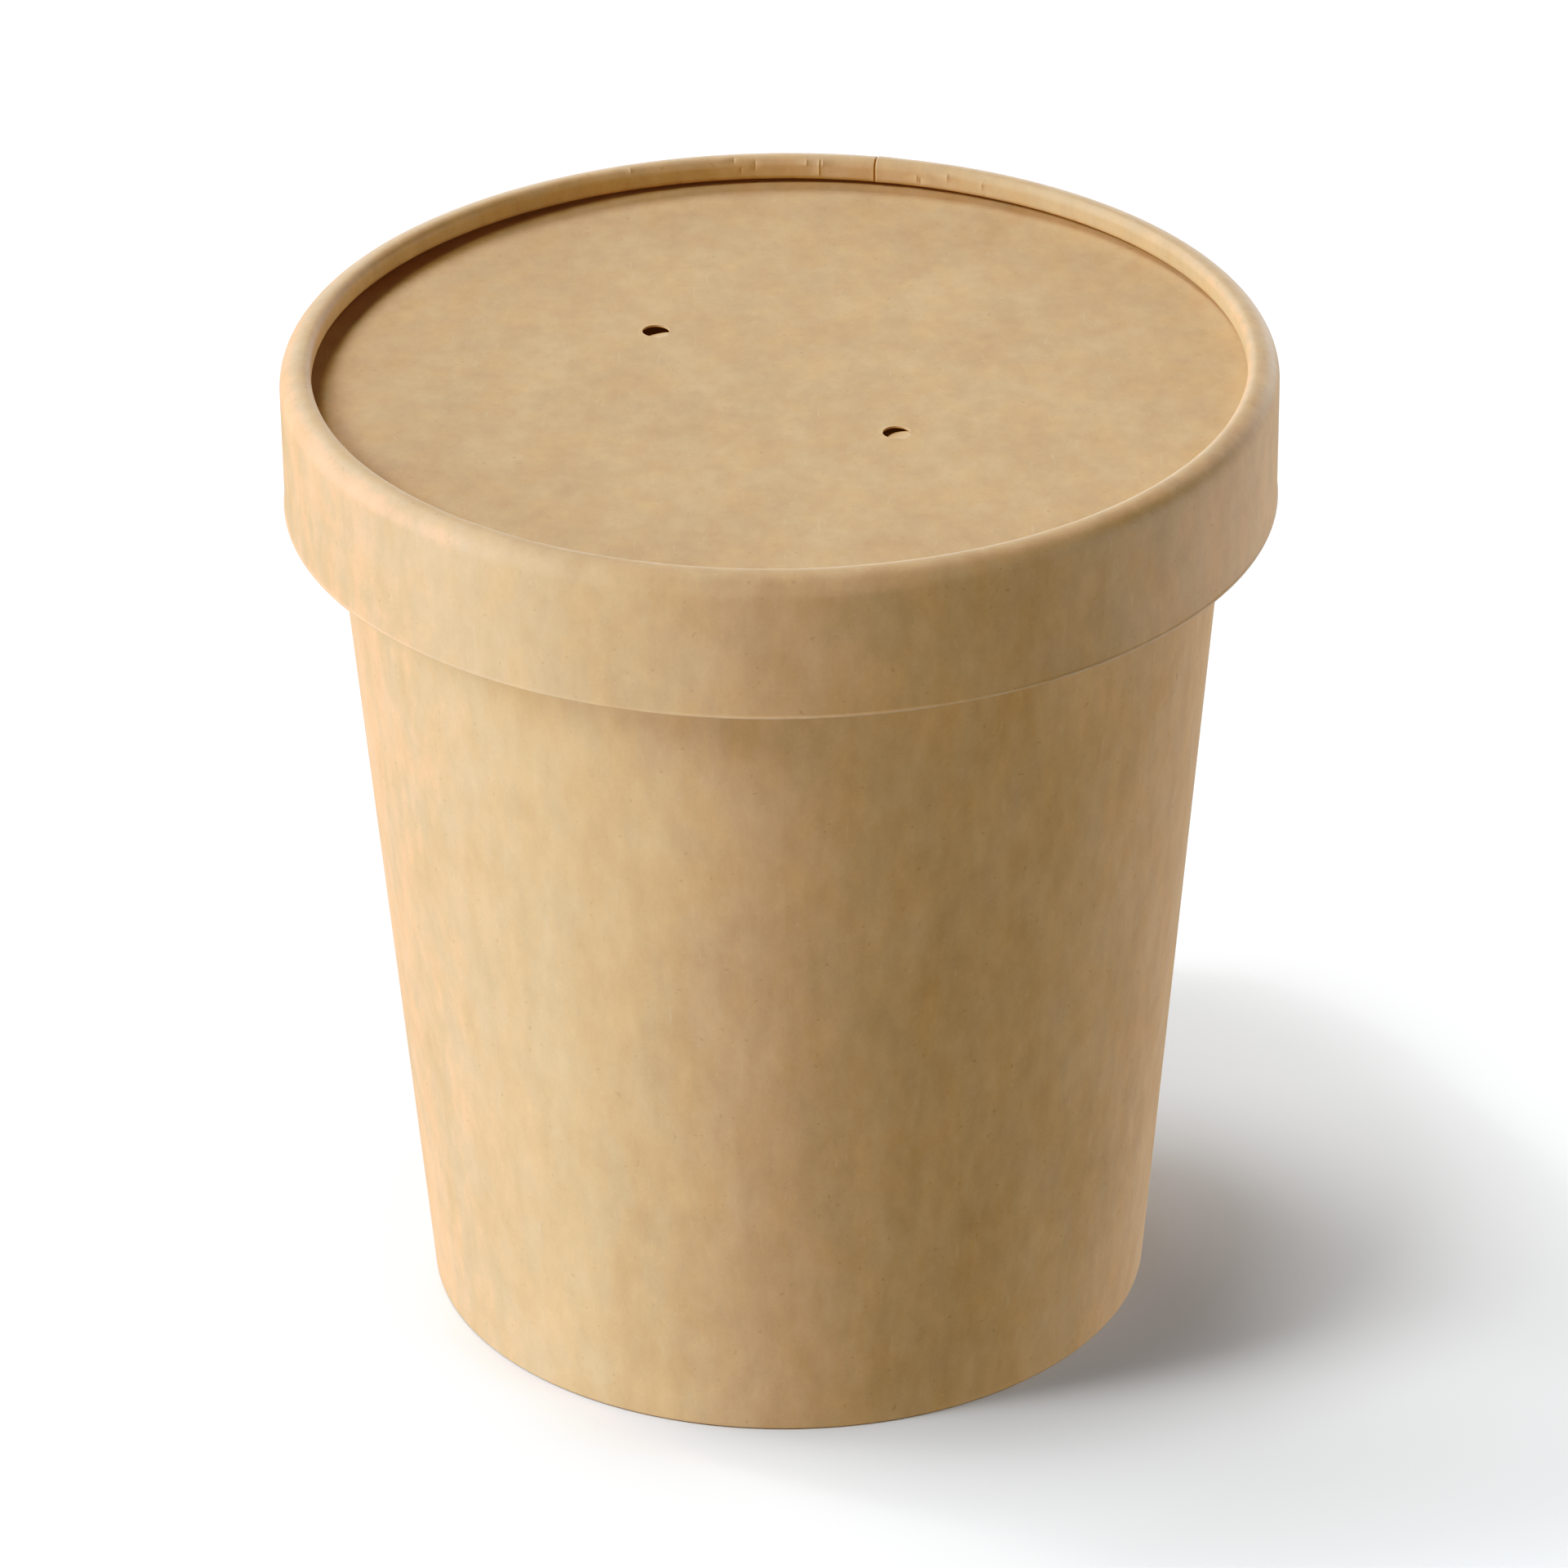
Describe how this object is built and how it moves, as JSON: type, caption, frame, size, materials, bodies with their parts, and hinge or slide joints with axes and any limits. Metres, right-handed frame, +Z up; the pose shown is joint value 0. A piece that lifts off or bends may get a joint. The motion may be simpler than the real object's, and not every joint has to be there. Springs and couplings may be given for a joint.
{
  "type": "takeaway soup container",
  "caption": "Shut round takeaway container: tapered brown paperboard cup under a paper lid with a rolled bead, hanging skirt and recessed vented disc.",
  "frame": {"origin": "middle of the foot, in the plane that the container stands on", "axes": "+Z up along the container's axis, -Y towards the front as pictured, +X to the right"},
  "size_m": [0.101, 0.101, 0.1044],
  "materials": {
    "cup_paper": "matte uncoated brown board, faintly mottled with fine fibres",
    "lid_ring_paper": "matte uncoated brown board, creased a little where it rolls",
    "lid_disc_paper": "matte uncoated brown board"
  },
  "bodies": {
    "root": {"cup": "cup_paper", "lid_ring": "lid_ring_paper", "lid_disc": "lid_disc_paper"}
  },
  "joints": []
}
